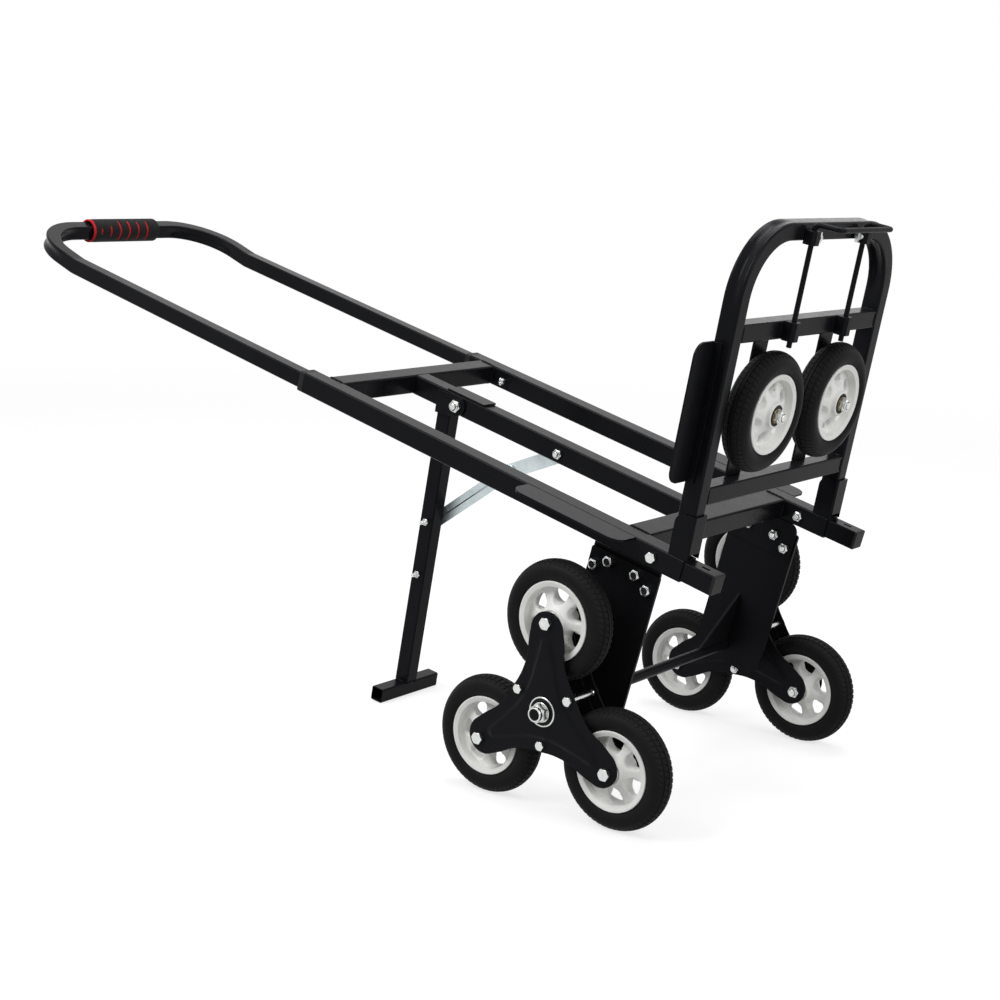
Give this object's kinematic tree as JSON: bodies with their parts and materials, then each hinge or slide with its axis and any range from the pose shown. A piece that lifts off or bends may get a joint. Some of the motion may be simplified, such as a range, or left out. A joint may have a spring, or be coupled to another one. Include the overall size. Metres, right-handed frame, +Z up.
{
  "type": "folding stair-climbing hand trolley",
  "caption": "Folding hand trolley with a tri-wheel stair-climbing cluster on each side, a slide-out handle, a fold-up load frame with spare wheels and a prop leg.",
  "frame": {"origin": "on the floor, at the middle of the overall length and width", "axes": "+X along the trolley towards the load frame, +Y across it to the left, +Z up"},
  "size_m": [1.4324, 0.5842, 0.7809],
  "materials": {
    "powder_coat": "semi-gloss black powder coat",
    "zinc": "bright zinc plate",
    "tyre_rubber": "matt black rubber",
    "rim_plastic": "satin white plastic",
    "black_plastic": "matt black plastic",
    "grip_foam": "matt black foam with red stripes"
  },
  "bodies": {
    "chassis": {"side_rail_left": "powder_coat", "side_rail_right": "powder_coat", "upper_crossbar": "powder_coat", "lower_crossbar": "powder_coat", "middle_rail": "powder_coat", "rail_plates": "powder_coat", "mouth_collars": "black_plastic", "hinge_brackets": "powder_coat", "stub_tubes": "powder_coat", "stub_end_caps": "black_plastic", "side_plates": "powder_coat", "bracket_plates": "powder_coat", "axle_gussets": "powder_coat", "main_axle": "powder_coat", "axle_hardware": "zinc", "frame_bolts": "zinc"},
    "handle": {"handle_tube": "powder_coat", "handle_grip": "grip_foam"},
    "lock_left": {"lock_screw_left": "zinc"},
    "lock_right": {"lock_screw_right": "zinc"},
    "cluster_left": {"spider_outer_left": "powder_coat", "spider_inner_left": "powder_coat", "cluster_bolts_left": "zinc", "cluster_hub_left": "zinc"},
    "wheel_top_left": {"tyre_top_left": "tyre_rubber", "rim_top_left": "rim_plastic"},
    "wheel_rear_left": {"tyre_rear_left": "tyre_rubber", "rim_rear_left": "rim_plastic"},
    "wheel_front_left": {"tyre_front_left": "tyre_rubber", "rim_front_left": "rim_plastic"},
    "cluster_right": {"spider_outer_right": "powder_coat", "spider_inner_right": "powder_coat", "cluster_bolts_right": "zinc", "cluster_hub_right": "zinc"},
    "wheel_top_right": {"tyre_top_right": "tyre_rubber", "rim_top_right": "rim_plastic"},
    "wheel_rear_right": {"tyre_rear_right": "tyre_rubber", "rim_rear_right": "rim_plastic"},
    "wheel_front_right": {"tyre_front_right": "tyre_rubber", "rim_front_right": "rim_plastic"},
    "load_frame": {"toe_hoop": "powder_coat", "toe_crossbars": "powder_coat", "toe_straps": "powder_coat", "toe_wings": "powder_coat", "rod_guides": "powder_coat", "toe_bolts": "zinc"},
    "hook": {"hook_rod": "powder_coat"},
    "thumb_left": {"thumb_screw_left": "zinc"},
    "spare_wheel_left": {"spare_tyre_left": "tyre_rubber", "spare_rim_left": "rim_plastic"},
    "thumb_right": {"thumb_screw_right": "zinc"},
    "spare_wheel_right": {"spare_tyre_right": "tyre_rubber", "spare_rim_right": "rim_plastic"},
    "leg": {"leg_clevis": "powder_coat", "leg_tube": "powder_coat", "leg_foot": "powder_coat", "leg_screws": "zinc"},
    "brace_lower": {"brace_lower": "zinc"},
    "brace_upper": {"brace_upper": "zinc"}
  },
  "joints": [
    {"name": "handle_slide", "type": "slide", "parent": "chassis", "child": "handle", "axis": [0.9705, 0, -0.2412], "range_m": [0, 0.4853]},
    {"name": "lock_left_turn", "type": "hinge", "parent": "chassis", "child": "lock_left", "pos_m": [0.015, 0.17625, 0.4843], "axis": [0, -1, 0], "range_deg": [0, 180]},
    {"name": "lock_right_turn", "type": "hinge", "parent": "chassis", "child": "lock_right", "pos_m": [0.015, -0.17625, 0.4843], "axis": [0, 1, 0], "range_deg": [0, 180]},
    {"name": "cluster_left_spin", "type": "hinge", "parent": "chassis", "child": "cluster_left", "pos_m": [0.44111, 0.2461, 0.1387], "axis": [0, 1, 0], "continuous": true},
    {"name": "wheel_top_left_spin", "type": "hinge", "parent": "cluster_left", "child": "wheel_top_left", "pos_m": [0.44111, 0.2461, 0.2561], "axis": [0, 1, 0], "continuous": true},
    {"name": "wheel_rear_left_spin", "type": "hinge", "parent": "cluster_left", "child": "wheel_rear_left", "pos_m": [0.33944, 0.2461, 0.08], "axis": [0, 1, 0], "continuous": true},
    {"name": "wheel_front_left_spin", "type": "hinge", "parent": "cluster_left", "child": "wheel_front_left", "pos_m": [0.54278, 0.2461, 0.08], "axis": [0, 1, 0], "continuous": true},
    {"name": "cluster_right_spin", "type": "hinge", "parent": "chassis", "child": "cluster_right", "pos_m": [0.44111, -0.2461, 0.1387], "axis": [0, 1, 0], "continuous": true},
    {"name": "wheel_top_right_spin", "type": "hinge", "parent": "cluster_right", "child": "wheel_top_right", "pos_m": [0.44111, -0.2461, 0.2561], "axis": [0, 1, 0], "continuous": true},
    {"name": "wheel_rear_right_spin", "type": "hinge", "parent": "cluster_right", "child": "wheel_rear_right", "pos_m": [0.33944, -0.2461, 0.08], "axis": [0, 1, 0], "continuous": true},
    {"name": "wheel_front_right_spin", "type": "hinge", "parent": "cluster_right", "child": "wheel_front_right", "pos_m": [0.54278, -0.2461, 0.08], "axis": [0, 1, 0], "continuous": true},
    {"name": "load_frame_fold", "type": "hinge", "parent": "chassis", "child": "load_frame", "pos_m": [0.59139, 0, 0.39105], "axis": [0, -1, 0], "range_deg": [0, 88]},
    {"name": "hook_slide", "type": "slide", "parent": "load_frame", "child": "hook", "axis": [0.1628, 0, 0.9867], "range_m": [0, 0.02]},
    {"name": "thumb_left_turn", "type": "hinge", "parent": "load_frame", "child": "thumb_left", "pos_m": [0.67335, 0.0615, 0.75871], "axis": [0, -1, 0], "range_deg": [0, 180]},
    {"name": "thumb_right_turn", "type": "hinge", "parent": "load_frame", "child": "thumb_right", "pos_m": [0.67335, -0.0615, 0.75871], "axis": [0, 1, 0], "range_deg": [0, 180]},
    {"name": "spare_wheel_left_spin", "type": "hinge", "parent": "load_frame", "child": "spare_wheel_left", "pos_m": [0.63007, 0.088, 0.53639], "axis": [0.9867, 0, -0.1628], "continuous": true},
    {"name": "spare_wheel_right_spin", "type": "hinge", "parent": "load_frame", "child": "spare_wheel_right", "pos_m": [0.63007, -0.088, 0.53639], "axis": [0.9867, 0, -0.1628], "continuous": true},
    {"name": "leg_fold", "type": "hinge", "parent": "chassis", "child": "leg", "pos_m": [0.07386, 0, 0.46864], "axis": [0, -1, 0], "range_deg": [0, 70]},
    {"name": "brace_lower_swing", "type": "hinge", "parent": "leg", "child": "brace_lower", "pos_m": [0.01875, 0, 0.28281], "axis": [0, -1, 0], "range_deg": [-85, 0.5]},
    {"name": "brace_upper_swing", "type": "hinge", "parent": "chassis", "child": "brace_upper", "pos_m": [0.26145, 0, 0.42201], "axis": [0, -1, 0], "range_deg": [-0.5, 153.03]}
  ],
  "couplings": [
    {"joint": "brace_lower_swing", "follows": "leg_fold", "ratio": -1.2071},
    {"joint": "brace_upper_swing", "follows": "leg_fold", "ratio": 2.179}
  ]
}
